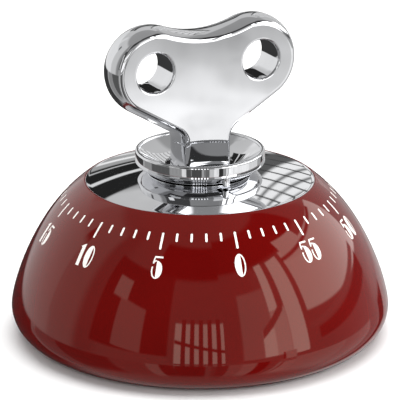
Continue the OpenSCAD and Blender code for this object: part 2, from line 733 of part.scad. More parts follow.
module bell_hammer() {
    color("silver") difference() {
        union() {
            translate([0, 0, cam_z]) linear_extrude(cam_t) bar(hammer_at, 1.8, tail_tip, 0.5);
            at(hammer_at, hammer_level + 0.4) cylinder(r = 2, h = 1.6);
            translate([0, 0, hammer_level + 0.7]) linear_extrude(0.9) bar(hammer_at, 1.2, head_at, 0.8);
            at(head_at, hammer_level) cylinder(r = head_r, h = 2.4);
        }
        at(hammer_at, 0) cylinder(r = 1, h = hammer_level + 10);
    }
}
module hammer_arbor() {
    color("silver") at(hammer_at, lower_z) cylinder(r = 1, h = hammer_level + 2 - lower_z);
}
module hammer_spring() {
    z = upper_top;
    end = hammer_at + (head_at - hammer_at) * 0.42
        + polar(1.45, angle_of(head_at - hammer_at) + 90);
    color("steelblue") {
        at(return_post_at, upper_z) cylinder(r = 0.6, h = hammer_level + 1.6 - upper_z);
        translate([0, 0, hammer_level + 0.8]) linear_extrude(0.6) bar(return_post_at, 0.3, end, 0.2);
    }
}

dome_shell();
top_plate();
base_plate();
foot_ring();
base_screws();
movement_spacers();
movement_screws();
lower_plate();
upper_plate();
pillars();
pillar_nuts();
centre_bush();
centre_nut();
stop_post();
spring_post();
mainspring();
hairspring();
hairspring_stud();
bell_gong();
bell_post();
bell_screw();
hammer_spring();
key_collar();
winding_key();
index_pin();
key_pin();
main_arbor();
ratchet_wheel();
trip_cam();
stop_arm();
great_wheel();
click_rivet();
click_spring();
click();
second_wheel();
second_pinion();
third_wheel();
third_pinion();
escape_wheel();
escape_pinion();
pallet_lever();
pallet_pins();
pallet_arbor();
balance_wheel();
balance_staff();
bell_hammer();
hammer_arbor();
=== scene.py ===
import json
import math

import bmesh
import bpy
from mathutils import Matrix, Vector


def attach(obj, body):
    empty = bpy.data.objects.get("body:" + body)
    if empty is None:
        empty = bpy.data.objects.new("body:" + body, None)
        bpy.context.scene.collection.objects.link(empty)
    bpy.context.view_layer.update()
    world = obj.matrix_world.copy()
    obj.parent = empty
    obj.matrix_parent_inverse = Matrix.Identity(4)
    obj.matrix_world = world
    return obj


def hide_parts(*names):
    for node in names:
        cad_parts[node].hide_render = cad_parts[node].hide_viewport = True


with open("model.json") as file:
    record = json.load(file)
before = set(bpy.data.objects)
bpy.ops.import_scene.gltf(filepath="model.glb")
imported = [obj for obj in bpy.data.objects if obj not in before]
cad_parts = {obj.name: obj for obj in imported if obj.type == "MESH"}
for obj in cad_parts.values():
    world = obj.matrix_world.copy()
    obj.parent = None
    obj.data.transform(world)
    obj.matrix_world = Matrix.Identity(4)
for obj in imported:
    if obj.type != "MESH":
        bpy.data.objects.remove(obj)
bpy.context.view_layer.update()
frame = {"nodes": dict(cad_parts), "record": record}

MM = 0.001

# ---------------------------------------------------------------- camera
# The camera stands in front and a little to the left of the 0 mark, and looks slightly down.
CAMERA_AIM = Vector((0, 0, 37.7)) * MM
CAMERA_DISTANCE = 680 * MM
CAMERA_AZIMUTH = math.radians(-14.6)
CAMERA_ELEVATION = math.radians(17.99)
CAMERA_PITCH = math.radians(18.42)
CAMERA_LENS = 259.07


def direction(azimuth, elevation):
    """Unit vector from the object: azimuth 0 is -Y, and a positive azimuth turns towards +X."""
    flat = math.cos(elevation)
    return Vector((math.sin(azimuth) * flat, -math.cos(azimuth) * flat, math.sin(elevation)))


def make_camera():
    camera = bpy.data.objects.new("camera", bpy.data.cameras.new("camera"))
    bpy.context.scene.collection.objects.link(camera)
    camera.location = CAMERA_AIM + direction(CAMERA_AZIMUTH, CAMERA_ELEVATION) * CAMERA_DISTANCE
    camera.rotation_euler = (math.pi / 2 - CAMERA_PITCH, 0, CAMERA_AZIMUTH)
    camera.data.lens = CAMERA_LENS
    camera.data.sensor_width = 36
    camera.data.clip_start = 0.01
    camera.data.clip_end = 20
    bpy.context.scene.camera = camera


make_camera()
bpy.context.scene.view_settings.view_transform = "Standard"


# ---------------------------------------------------------------- materials
class Nodes:
    """Shorthand for building a node tree."""

    def __init__(self, tree):
        self.tree = tree
        tree.nodes.clear()

    def add(self, kind, **settings):
        node = self.tree.nodes.new(kind)
        for name, value in settings.items():
            setattr(node, name, value)
        return node

    def link(self, source, target):
        self.tree.links.new(source, target)

    def feed(self, node, values):
        for name, value in values.items():
            socket = node.inputs[name]
            if isinstance(value, bpy.types.NodeSocket):
                self.link(value, socket)
            else:
                socket.default_value = value

    def math(self, operation, a, b=0.0, clamp=False):
        node = self.add("ShaderNodeMath", operation=operation, use_clamp=clamp)
        self.feed(node, {0: a, 1: b})
        return node.outputs[0]

    def ramp(self, value, low, high, out_low, out_high, smooth=False):
        node = self.add("ShaderNodeMapRange")
        node.interpolation_type = "SMOOTHSTEP" if smooth else "LINEAR"
        self.feed(node, {"Value": value, "From Min": low, "From Max": high,
                         "To Min": out_low, "To Max": out_high})
        return node.outputs[0]


IOR = 1.5


def rgba(colour):
    return (*colour, 1.0)


def finish(name, colour, metallic, roughness, grain, spread=0.12, rough_spread=0.04, bump=0.0,
           stretch=(1, 1, 1), detail=3.0, tint=None, fine=None):
    """A procedural finish. grain is the size of its mottling in mm, spread its change of colour, tint
    the colour of its gloss, and fine the size in mm of a second, finer grain in its bump."""
    material = bpy.data.materials.new(name)
    material.use_nodes = True
    n = Nodes(material.node_tree)
    place = n.add("ShaderNodeTexCoord").outputs["Object"]
    mapping = n.add("ShaderNodeMapping")
    n.feed(mapping, {"Vector": place, "Scale": tuple(s / (grain * MM) for s in stretch)})
    noise = n.add("ShaderNodeTexNoise")
    n.feed(noise, {"Vector": mapping.outputs[0], "Scale": 1.0, "Detail": detail,
                   "Roughness": 0.55})
    value = noise.outputs["Fac"]
    mix = n.add("ShaderNodeMix", data_type="RGBA")
    n.feed(mix, {
        0: n.ramp(value, 0.3, 0.7, 0.0, 1.0),
        6: rgba([c * (1 - spread) for c in colour]),
        7: rgba([min(1.0, c * (1 + spread)) for c in colour]),
    })
    shader = n.add("ShaderNodeBsdfPrincipled")
    n.feed(shader, {
        "Base Color": mix.outputs[2],
        "Metallic": metallic,
        "Roughness": n.ramp(value, 0.3, 0.7, max(0.0, roughness - rough_spread),
                            roughness + rough_spread),
        "IOR": IOR,
    })
    if tint:
        n.feed(shader, {"Specular Tint": rgba(tint)})
    if bump:
        height = value
        if fine:
            small = n.add("ShaderNodeTexNoise")
            n.feed(small, {"Vector": place, "Scale": 1 / (fine * MM), "Detail": 2.0})
            height = n.math("ADD", value, small.outputs["Fac"])
        node = n.add("ShaderNodeBump")
        n.feed(node, {"Strength": 1.0, "Distance": bump * MM, "Height": height})
        n.link(node.outputs[0], shader.inputs["Normal"])
    output = n.add("ShaderNodeOutputMaterial")
    n.link(shader.outputs[0], output.inputs[0])
    return material


FINISHES = {
    "red_gloss": finish("red_enamel", (0.098, 0.0012, 0.0010), 0.0, 0.035, 26, spread=0.10,
                        rough_spread=0.012, bump=0.0025, detail=1.5, tint=(1.0, 0.86, 0.72)),
    "chrome": finish("polished_chrome", (0.74, 0.745, 0.76), 1.0, 0.03, 9, spread=0.045,
                     rough_spread=0.018, bump=0.0018, stretch=(1, 1, 0.5), detail=2.0),
    "black_plastic": finish("moulded_black", (0.012, 0.012, 0.013), 0.0, 0.42, 1.6, spread=0.25,
                            rough_spread=0.08, bump=0.02, fine=0.25),
    "rubber": finish("foot_rubber", (0.018, 0.017, 0.016), 0.0, 0.72, 2.2, spread=0.3,
                     rough_spread=0.08, bump=0.03, fine=0.3),
    "brass": finish("clock_brass", (0.72, 0.50, 0.19), 1.0, 0.24, 0.7, spread=0.10,
                    rough_spread=0.07, bump=0.004, stretch=(1, 8, 1)),
    "steel": finish("turned_steel", (0.52, 0.52, 0.53), 1.0, 0.27, 0.6, spread=0.10,
                    rough_spread=0.07, bump=0.003, stretch=(1, 1, 8)),
    "blued_steel": finish("blued_spring", (0.035, 0.06, 0.17), 1.0, 0.22, 3.0, spread=0.35,
                          rough_spread=0.06, bump=0.002),
    "nickel": finish("nickel_plate", (0.66, 0.62, 0.55), 1.0, 0.16, 1.2, spread=0.07,
                     rough_spread=0.05, bump=0.002),
}
SCALE_WHITE = finish("scale_paint", (0.83, 0.80, 0.76), 0.0, 0.4, 3, spread=0.03,
                     rough_spread=0.05, bump=0.002, detail=2.0)


# ---------------------------------------------------------------- mesh helpers
def new_piece(name, verts, faces, body, material, sharp=32):
    """A mesh piece from points in millimetres."""
    mesh = bpy.data.meshes.new(name)
    mesh.from_pydata([Vector(v) * MM for v in verts], [], faces)
    bm = bmesh.new()
    bm.from_mesh(mesh)
    bmesh.ops.recalc_face_normals(bm, faces=bm.faces)
    bm.to_mesh(mesh)
    bm.free()
    mesh.shade_smooth()
    if sharp:
        mesh.set_sharp_from_angle(angle=math.radians(sharp))
    piece = bpy.data.objects.new(name, mesh)
    bpy.context.scene.collection.objects.link(piece)
    mesh.materials.append(material)
    if body:
        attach(piece, body)
    return piece


def lathe(profile, steps):
    """A closed profile of (radius, height) points turned about Z."""
    count = len(profile)
    verts = []
    for k in range(steps):
        a = 2 * math.pi * k / steps
        verts += [(r * math.cos(a), r * math.sin(a), z) for r, z in profile]
    faces = []
    for k in range(steps):
        here = k * count
        there = (k + 1) % steps * count
        for j in range(count):
            nxt = (j + 1) % count
            faces.append((here + j, there + j, there + nxt, here + nxt))
    return verts, faces


def arc(cx, cy, r, start, end, steps):
    """Points of a circle's arc, in degrees."""
    angles = [math.radians(start + (end - start) * k / steps) for k in range(steps + 1)]
    return [(cx + r * math.cos(a), cy + r * math.sin(a)) for a in angles]


def weighted_normals(piece):
    """Keeps large faces evenly shaded where they meet rounded edges."""
    modifier = piece.modifiers.new("normals", "WEIGHTED_NORMAL")
    modifier.keep_sharp = True
    modifier.weight = 100
    bake(piece)


def bake(piece):
    """Applies every modifier of a piece."""
    depsgraph = bpy.context.evaluated_depsgraph_get()
    mesh = bpy.data.meshes.new_from_object(piece.evaluated_get(depsgraph))
    piece.modifiers.clear()
    piece.data = mesh


# ---------------------------------------------------------------- body of the timer
BASE_Z = 0.6
BASE_TOP = 3.0
FLANGE_T = 1.8
WIDEST_R = 45.0
WIDEST_Z = 7.2
EDGE_R = 27.4
EDGE_Z = 37.7
WALL = 2.4
LEDGE_Z = 36.4
LEDGE_R = 25.6
LEDGE_T = 1.6
RIM_IN = 39.0
FLANGE_IN = 31.5
LIP_R = 0.35
BODY_STEPS = 288
START_HANDLE = 0.116
END_HANDLE = 0.506
END_SLOPE = math.radians(54.3)


def side_points():
    """The four control points of the body's side, from its widest line up to the plate."""
    rise = EDGE_Z - WIDEST_Z
    a = Vector((WIDEST_R, WIDEST_Z))
    d = Vector((EDGE_R, EDGE_Z))
    b = a + Vector((0, START_HANDLE * rise))
    c = d + END_HANDLE * rise * Vector((math.sin(END_SLOPE), -math.cos(END_SLOPE)))
    return a, b, c, d


SIDE = side_points()


def side(t):
    """Point of the side and its outward normal."""
    a, b, c, d = SIDE
    s = 1 - t
    point = s * s * s * a + 3 * s * s * t * b + 3 * s * t * t * c + t * t * t * d
    slope = 3 * s * s * (b - a) + 6 * s * t * (c - b) + 3 * t * t * (d - c)
    normal = Vector((slope.y, -slope.x)).normalized()
    return point, normal


def side_table(count=400):
    """Arc length down the side from the plate's edge, with the place it belongs to."""
    rows = []
    length = 0.0
    last = None
    for k in range(count + 1):
        t = 1 - k / count
        point, normal = side(t)
        if last is not None:
            length += (point - last).length
        rows.append((length, point, normal))
        last = point
    return rows


SIDE_ROWS = side_table()


def down_side(length):
    """Point and outward normal at an arc length below the plate's edge."""
    for low, high in zip(SIDE_ROWS, SIDE_ROWS[1:]):
        if length <= high[0]:
            f = (length - low[0]) / (high[0] - low[0])
            return low[1].lerp(high[1], f), low[2].lerp(high[2], f).normalized()
    return SIDE_ROWS[-1][1], SIDE_ROWS[-1][2]


def make_body():
    """The red shell, from its foot up the side to the ledge that holds the plate, and back inside."""
    steps = 72
    toe_r = WIDEST_Z
    toe_foot = math.degrees(math.asin((WIDEST_Z - BASE_Z) / toe_r))
    outer = arc(WIDEST_R - toe_r, WIDEST_Z, toe_r, -toe_foot, 0, 24)
    outer += [tuple(side(k / steps)[0]) for k in range(1, steps)]
    top, normal = side(1)
    lip_turn = math.degrees(math.atan2(normal.y, normal.x))
    centre = top - normal * LIP_R
    outer += arc(centre.x, centre.y, LIP_R, lip_turn, 180, 8)
    ledge = [(centre.x - LIP_R, LEDGE_Z), (LEDGE_R, LEDGE_Z), (LEDGE_R, LEDGE_Z - LEDGE_T)]
    inner = []
    for k in range(24, -1, -1):
        point, normal = side(k / 24)
        place = point - normal * WALL
        if place.y < LEDGE_Z - LEDGE_T:
            inner.append(tuple(place))
    inner_r = WIDEST_Z - WALL
    low = math.degrees(math.asin((WIDEST_Z - BASE_TOP - FLANGE_T) / inner_r))
    inner += arc(WIDEST_R - toe_r, WIDEST_Z, inner_r, 0, -low, 8)[1:]
    flange = [(FLANGE_IN, BASE_TOP + FLANGE_T), (FLANGE_IN, BASE_TOP), (RIM_IN, BASE_TOP)]
    profile = outer + ledge + inner + flange + [(RIM_IN, BASE_Z)]
    verts, faces = lathe(profile, BODY_STEPS)
    piece = new_piece("body_shell", verts, faces, "case", FINISHES["red_gloss"])
    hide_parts("dome_shell")


# ---------------------------------------------------------------- printed scale
# The paint stands PAINT above the body and reaches SUNK into it, in mm.
PAINT = 0.025
SUNK = 0.06


def on_side(across, down, azimuth, lift):
    """Point on the body: across in mm, down in mm of arc, azimuth of the mark in degrees."""
    point, normal = down_side(down)
    turn = math.radians(azimuth) - across / point.x
    r = point.x + normal.x * lift
    z = point.y + normal.y * lift
    return (-r * math.sin(turn), -r * math.cos(turn), z)


def ribbon(pairs, azimuth, verts, faces, columns=4):
    """A thin closed layer of paint between pairs of (across, down) points."""
    rows = len(pairs)
    start = len(verts)
    for lift in (PAINT, -SUNK):
        for a, b in pairs:
            for k in range(columns + 1):
                f = k / columns
                across = a[0] + (b[0] - a[0]) * f
                down = a[1] + (b[1] - a[1]) * f
                verts.append(on_side(across, down, azimuth, lift))
    wide = columns + 1
    layer = rows * wide
    for r in range(rows - 1):
        for k in range(columns):
            i = start + r * wide + k
            faces.append((i, i + 1, i + wide + 1, i + wide))
            j = i + layer
            faces.append((j, j + wide, j + wide + 1, j + 1))
    edge = [r * wide for r in range(rows)]
    edge += [(rows - 1) * wide + k for k in range(1, wide)]
    edge += [r * wide + columns for r in range(rows - 2, -1, -1)]
    edge += [k for k in range(columns - 1, 0, -1)]
    for k, here in enumerate(edge):
        there = edge[(k + 1) % len(edge)]
        faces.append((start + here, start + there, start + there + layer, start + here + layer))


TICK_TOP = 4.95
TICK_MINOR = 7.1
TICK_MAJOR = 9.15
TICK_W = 0.52
TICK_OFF = (0.5, 0.3)


def ring_shift(azimuth, off):
    """How far down a ring of marks, printed a little off the centre, sits at an azimuth."""
    turn = math.radians(azimuth)
    return off[0] * math.sin(turn) - off[1] * math.cos(turn)


def tick_pairs(top, bottom):
    """A stroke with rounded ends."""
    half = TICK_W / 2
    rows = []
    for k in range(6):
        a = math.pi / 2 * k / 5
        rows.append((half * math.sin(a), top + half * (1 - math.cos(a))))
    straight = 5
    for k in range(1, straight):
        rows.append((half, top + half + (bottom - top - 2 * half) * k / straight))
    for k in range(5, -1, -1):
        a = math.pi / 2 * k / 5
        rows.append((half * math.sin(a), bottom - half * (1 - math.cos(a))))
    rows = [(max(w, 0.02), d) for w, d in rows]
    return [((-w, d), (w, d)) for w, d in rows]


def make_ticks():
    verts = []
    faces = []
    for minute in range(60):
        shift = ring_shift(minute * 6, TICK_OFF)
        bottom = TICK_MAJOR if minute % 5 == 0 else TICK_MINOR
        ribbon(tick_pairs(TICK_TOP + shift, bottom + shift), minute * 6, verts, faces, columns=2)
    new_piece("scale_ticks", verts, faces, "case", SCALE_WHITE)


# Digits are drawn in a box of width 1 and height 1, x to the right and y down, from curves.
DIGIT_H = 5.4
DIGIT_W = 2.55
DIGIT_TOP = 10.9
DIGIT_OFF = (0.85, 0.75)
DIGIT_GAP = 0.45
HAIR = 0.12


def bow(cx, cy, rx, ry, start, end, steps=18):
    """Points of an ellipse's arc; 0 degrees is to the right and 90 down."""
    out = []
    for k in range(steps + 1):
        a = math.radians(start + (end - start) * k / steps)
        out.append((cx + rx * math.cos(a), cy + ry * math.sin(a)))
    return out


def stroke(points, width):
    """Pairs either side of a line of points, width apart across the page or along it."""
    out = []
    for k, p in enumerate(points):
        a = points[max(k - 1, 0)]
        b = points[min(k + 1, len(points) - 1)]
        dx = (b[0] - a[0]) * DIGIT_W
        dy = (b[1] - a[1]) * DIGIT_H
        size = math.hypot(dx, dy) or 1
        ox = -dy / size * width * 0.5
        oy = dx / size * width * 0.5
        out.append(((p[0] - ox, p[1] - oy * DIGIT_W / DIGIT_H),
                    (p[0] + ox, p[1] + oy * DIGIT_W / DIGIT_H)))
    return out


def thick_half(cx, cy, rx, ry, side_sign, cut):
    """The heavy half of a bowl: an ellipse's arc closed by a straight inner edge."""
    out = []
    for k in range(19):
        a = math.radians(-90 + 180 * k / 18)
        x = cx + side_sign * rx * math.cos(a)
        y = cy + ry * math.sin(a)
        inner = cx + side_sign * cut
        if side_sign > 0:
            out.append(((inner, y), (max(x, inner + 0.01), y)))
        else:
            out.append(((min(x, inner - 0.01), y), (inner, y)))
    return out


def digit_strokes(digit):
    h = HAIR
    if digit == "0":
        return [thick_half(0.5, 0.5, 0.5, 0.5, -1, -0.10),
                stroke(bow(0.5, 0.5, 0.5 - h / 2, 0.5 - h / 4, -90, 90), h)]
    if digit == "1":
        return [[((0.40, 0.10), (0.78, 0.0)), ((0.36, 0.14), (0.78, 0.02)),
                 ((0.22, 0.165), (0.78, 0.05)), ((0.30, 0.18), (0.78, 0.10)),
                 ((0.40, 0.19), (0.78, 0.19)), ((0.40, 0.55), (0.78, 0.55)),
                 ((0.40, 1.0), (0.78, 1.0))]]
    if digit == "2":
        return [stroke(bow(0.45, 0.27, 0.38, 0.25, -200, -90), h),
                thick_half(0.45, 0.30, 0.45, 0.30, 1, 0.02),
                stroke([(0.78, 0.45), (0.60, 0.62), (0.35, 0.80), (0.10, 0.95)], h * 1.5),
                stroke([(0.02, 0.96), (0.5, 0.96), (0.97, 0.96)], h * 1.3),
                stroke([(0.94, 0.96), (0.96, 0.86)], h)]
    if digit == "3":
        return [stroke(bow(0.48, 0.24, 0.40, 0.22, -190, -90), h),
                thick_half(0.46, 0.25, 0.40, 0.25, 1, 0.0),
                thick_half(0.46, 0.72, 0.50, 0.28, 1, 0.0),
                stroke(bow(0.48, 0.74, 0.42, 0.24, 90, 190), h)]
    if digit == "4":
        return [[((0.52, 0.0), (0.86, 0.0)), ((0.52, 0.5), (0.86, 0.5)),
                 ((0.52, 1.0), (0.86, 1.0))],
                stroke([(0.56, 0.02), (0.30, 0.38), (0.04, 0.70)], h),
                stroke([(0.02, 0.71), (0.5, 0.71), (1.0, 0.71)], h)]
    return [stroke([(0.24, 0.055), (0.6, 0.055), (0.94, 0.055)], h * 1.35),
            stroke([(0.26, 0.03), (0.18, 0.15), (0.13, 0.29)], h),
            stroke(bow(0.40, 0.42, 0.30, 0.20, -160, -90), h),
            thick_half(0.44, 0.61, 0.56, 0.39, 1, 0.0),
            stroke(bow(0.46, 0.63, 0.46 - h / 2, 0.37 - h / 4, 90, 205), h)]


def make_numerals():
    verts = []
    faces = []
    for minute in range(0, 60, 5):
        text = str(minute)
        widths = [0.75 * DIGIT_W if c == "1" else DIGIT_W for c in text]
        total = sum(widths) + DIGIT_GAP * (len(text) - 1)
        x = -total / 2
        top = DIGIT_TOP + ring_shift(minute * 6, DIGIT_OFF)
        for c, width in zip(text, widths):
            shift = -0.18 * DIGIT_W if c == "1" else 0.0
            for pairs in digit_strokes(c):
                placed = []
                for a, b in pairs:
                    placed.append(((x + shift + a[0] * DIGIT_W, top + a[1] * DIGIT_H),
                                   (x + shift + b[0] * DIGIT_W, top + b[1] * DIGIT_H)))
                ribbon(placed, minute * 6, verts, faces)
            x += width + DIGIT_GAP
    new_piece("scale_numerals", verts, faces, "case", SCALE_WHITE)


# ---------------------------------------------------------------- plate, cup and index pin
PLATE_R = 27.2
CROWN_R = 132.0
PLATE_T = 1.2
CROWN_Z = 40.53
PLATE_EDGE = 0.3
WELL_R = 8.0
WELL_Z = 37.23
BUSH_R = 4.05
CHROME_STEPS = 256


def crown(r, inset=0.0):
    """Height of the plate's slightly domed top at a radius, or of a surface inset below it."""
    return CROWN_Z - CROWN_R + math.sqrt((CROWN_R - inset) ** 2 - r * r)


def make_plate():
    edge = PLATE_EDGE
    top_z = crown(PLATE_R - edge)
    profile = [(WELL_R, WELL_Z + PLATE_T)]
    profile += [(WELL_R, crown(WELL_R) - 0.25)]
    profile += [(WELL_R + 0.08, crown(WELL_R) - 0.07), (WELL_R + 0.25, crown(WELL_R + 0.25))]
    steps = 28
    for k in range(1, steps + 1):
        r = WELL_R + 0.25 + (PLATE_R - edge - WELL_R - 0.25) * k / steps
        profile.append((r, crown(r)))
    profile += arc(PLATE_R - edge, top_z - edge, edge, 78, 0, 6)
    profile += [(PLATE_R, LEDGE_Z + 0.02), (PLATE_R - 1.6, LEDGE_Z + 0.02)]
    profile += [(PLATE_R - 2.2, crown(PLATE_R - 2.2, PLATE_T))]
    for k in range(1, 9):
        r = PLATE_R - 2.2 - (PLATE_R - 2.2 - WELL_R - PLATE_T) * k / 8
        profile.append((r, crown(r, PLATE_T)))
    profile += [(WELL_R + PLATE_T, WELL_Z), (BUSH_R, WELL_Z)]
    profile += [(BUSH_R, WELL_Z + PLATE_T)]
    verts, faces = lathe(profile, CHROME_STEPS)
    piece = new_piece("plate_pressing", verts, faces, "case", FINISHES["chrome"])
    weighted_normals(piece)
    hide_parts("top_plate")


CUP_R = 15.3
CUP_FOOT_R = 12.6
CUP_FOOT_Z = 40.13
CUP_BAND_Z = 42.38
CUP_RIM_Z = 45.28
CUP_FLOOR_Z = 41.73
CUP_LIP = 1.1
CUP_BULGE = 0.28
RECESS_R = CUP_FOOT_R - 1.4
CUP_UNDER_Z = 40.73
ARBOR_R = 2.0
DISH_FOOT_R = 7.8
DISH_POWER = 1.5
DISH_STEPS = 24


def make_cup():
    lip = CUP_LIP / 2
    profile = [(RECESS_R, CUP_FOOT_Z), (CUP_FOOT_R - 0.2, CUP_FOOT_Z)]
    profile += [(CUP_FOOT_R - 0.06, CUP_FOOT_Z + 0.05), (CUP_FOOT_R, CUP_FOOT_Z + 0.18)]
    rise = CUP_BAND_Z - CUP_FOOT_Z
    for k in range(1, 12):
        f = k / 12
        r = CUP_FOOT_R + (CUP_R - CUP_FOOT_R) * f
        out = CUP_BULGE * math.sin(math.pi * f)
        profile.append((r + out * 0.64, CUP_FOOT_Z + 0.18 + (rise - 0.33) * f - out * 0.3))
    profile += arc(CUP_R - 0.15, CUP_BAND_Z, 0.15, -50, 0, 3)
    profile += [(CUP_R, CUP_BAND_Z + 1.0), (CUP_R, CUP_RIM_Z - lip - 0.2)]
    profile += arc(CUP_R - lip, CUP_RIM_Z - lip, lip, 0, 180, 14)
    inner = CUP_R - CUP_LIP
    deep = CUP_RIM_Z - lip - CUP_FLOOR_Z
    for k in range(1, DISH_STEPS + 1):
        f = k / DISH_STEPS
        profile.append((inner - (inner - DISH_FOOT_R) * f,
                        CUP_FLOOR_Z + deep * (1 - f) ** DISH_POWER))
    profile += [(ARBOR_R, CUP_FLOOR_Z), (ARBOR_R, CUP_UNDER_Z)]
    profile += [(RECESS_R, CUP_UNDER_Z)]
    verts, faces = lathe(profile, CHROME_STEPS)
    piece = new_piece("key_cup", verts, faces, "key", FINISHES["chrome"])
    weighted_normals(piece)
    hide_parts("key_collar")


REST_DEG = 9.5
KEY_SET_DEG = 2.5
INDEX_R = 0.8


def make_index():
    bottom = CUP_FOOT_Z + 0.1
    height = CUP_BAND_Z - CUP_FOOT_Z + 0.5
    straight = bottom + height - INDEX_R
    profile = [(0.0, bottom), (INDEX_R - 0.12, bottom), (INDEX_R, bottom + 0.12)]
    profile += [(INDEX_R, bottom + 1.0)]
    profile += arc(0, straight, INDEX_R, 0, 90, 12)[:-1]
    profile += [(0.0, straight + INDEX_R)]
    steps = 40
    turn = math.radians(REST_DEG - 90)
    centre = Vector((math.cos(turn), math.sin(turn))) * (CUP_R - 0.6)
    verts = []
    rings = profile[1:-1]
    for r, z in rings:
        for k in range(steps):
            a = 2 * math.pi * k / steps
            verts.append((centre.x + r * math.cos(a), centre.y + r * math.sin(a), z))
    faces = [tuple(range(steps - 1, -1, -1))]
    for j in range(len(rings) - 1):
        for k in range(steps):
            nxt = (k + 1) % steps
            faces.append((j * steps + k, j * steps + nxt, (j + 1) * steps + nxt,
                          (j + 1) * steps + k))
    verts.append((centre.x, centre.y, profile[-1][1]))
    top = (len(rings) - 1) * steps
    for k in range(steps):
        faces.append((top + k, top + (k + 1) % steps, len(verts) - 1))
    piece = new_piece("index_stud", verts, faces, "key", FINISHES["chrome"])
    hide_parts("index_pin")


# ---------------------------------------------------------------- winding key
KEY_H = 76.68 - CUP_FLOOR_Z
KEY_T = 9.2
KEY_BULGE = 1.4
KEY_EDGE = 0.8
LOBE_R = 10.7
HOLE_PITCH = 27.4
HOLE_D = 9.4
HOLE_ROUND = 0.55
NECK_W = 13.8
NECK_FILLET = 3.1
SADDLE_DROP = 2.4
SHOULDER = math.radians(31)
LOBE_AT = Vector((HOLE_PITCH / 2 - 0.5, KEY_H - LOBE_R))
HOLE_Y = KEY_H - LOBE_R + 0.3


def key_half(inset):
    """Right half of the key's outline, from the neck's foot up to the saddle."""
    out_dir = Vector((math.sin(SHOULDER), -math.cos(SHOULDER)))
    shoulder = LOBE_AT + out_dir * LOBE_R
    fillet_x = NECK_W / 2 + NECK_FILLET
    fillet_y = shoulder.y + ((fillet_x - shoulder.x) * out_dir.x - NECK_FILLET) / -out_dir.y
    saddle_rise = LOBE_R - SADDLE_DROP
    square = LOBE_AT.x ** 2 + saddle_rise ** 2 - LOBE_R ** 2
    saddle_r = square / (2 * (LOBE_R - saddle_rise))
    saddle = Vector((0, LOBE_AT.y + saddle_rise + saddle_r))
    away = saddle - LOBE_AT
    turn = math.degrees(math.atan2(away.y, away.x))
    low = math.degrees(SHOULDER)
    points = [(NECK_W / 2 - inset, 0), (NECK_W / 2 - inset, fillet_y * 0.5)]
    points += arc(fillet_x, fillet_y, NECK_FILLET + inset, 180, 90 + low, 12)
    points += arc(LOBE_AT.x, LOBE_AT.y, LOBE_R - inset, low - 90, turn, 72)
    points += arc(saddle.x, saddle.y, saddle_r + inset, turn + 180, 270, 18)[1:]
    return points


def key_outline(inset):
    """The whole outline, right half and its mirror image."""
    half = key_half(inset)
    return half + [(-x, y) for x, y in reversed(half[:-1])]


def key_sections():
    """(depth, inset) from the back face to the front face."""
    half = []
    for k in range(0, 11):
        half.append((k / 10 * (KEY_T / 2 - KEY_EDGE), 0.0))
    for k in range(1, 9):
        a = math.pi / 2 * k / 8
        half.append((KEY_T / 2 - KEY_EDGE * (1 - math.sin(a)), KEY_EDGE * (1 - math.cos(a))))
    rows = [(y, i + KEY_BULGE * (2 * y / KEY_T) ** 2) for y, i in half]
    rows.append((KEY_T / 2, rows[-1][1] + 0.12))
    return [(-y, i) for y, i in reversed(rows[1:])] + rows


def hole_cutter(x):
    """A tool shaped like the finger hole with rounded rims."""
    r = HOLE_D / 2
    half = KEY_T / 2
    rows = [(r + HOLE_ROUND + 0.02, half + 1.0), (r + HOLE_ROUND + 0.01, half + 0.002)]
    rows += [(r + HOLE_ROUND - HOLE_ROUND * math.cos(a), half - HOLE_ROUND * (1 - math.sin(a)))
             for a in [math.radians(86 - 86 * k / 8) for k in range(9)]]
    rows += [(r, half * 0.5), (r, 0.0)]
    rows += [(q, -d) for q, d in reversed(rows[:-1])]
    steps = 96
    verts = []
    for q, d in rows:
        for k in range(steps):
            a = 2 * math.pi * k / steps
            verts.append((x + q * math.cos(a), -d, HOLE_Y + q * math.sin(a)))
    faces = [tuple(range(steps)), tuple(len(verts) - 1 - k for k in range(steps))]
    for j in range(len(rows) - 1):
        for k in range(steps):
            nxt = (k + 1) % steps
            faces.append((j * steps + k, j * steps + nxt, (j + 1) * steps + nxt,
                          (j + 1) * steps + k))
    return new_piece("hole_cutter", verts, faces, None, FINISHES["chrome"], sharp=0)


def make_key():
    """The grip, lofted between its faces and cut by the two finger holes. Its faces stay flat."""
    sections = key_sections()
    verts = []
    for depth, inset in sections:
        verts += [(x, depth, y) for x, y in key_outline(inset)]
    count = len(verts) // len(sections)
    faces = [tuple(range(count)), tuple(len(verts) - 1 - k for k in range(count))]
    for s in range(len(sections) - 1):
        for k in range(count):
            nxt = (k + 1) % count
            a = s * count
            faces.append((a + k, a + nxt, a + count + nxt, a + count + k))
    piece = new_piece("key_grip", verts, faces, None, FINISHES["chrome"], sharp=0)
    for sign in (-1, 1):
        cutter = hole_cutter(sign * HOLE_PITCH / 2)
        cut = piece.modifiers.new("hole", "BOOLEAN")
        cut.operation = "DIFFERENCE"
        cut.solver = "MANIFOLD"
        cut.object = cutter
        bpy.context.view_layer.update()
        bake(piece)
        bpy.data.objects.remove(cutter)
    piece.data.shade_smooth()
    piece.data.set_sharp_from_angle(angle=math.radians(40))
    for face in piece.data.polygons:
        face.use_smooth = abs(face.normal.y) < 0.9999
    turn = Matrix.Rotation(math.radians(REST_DEG + KEY_SET_DEG), 4, "Z")
    piece.data.transform(Matrix.Translation((0, 0, CUP_FLOOR_Z * MM)) @ turn)
    piece.data.update()
    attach(piece, "key")
    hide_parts("winding_key")


make_body()
make_ticks()
make_numerals()
make_plate()
make_cup()
make_index()
make_key()


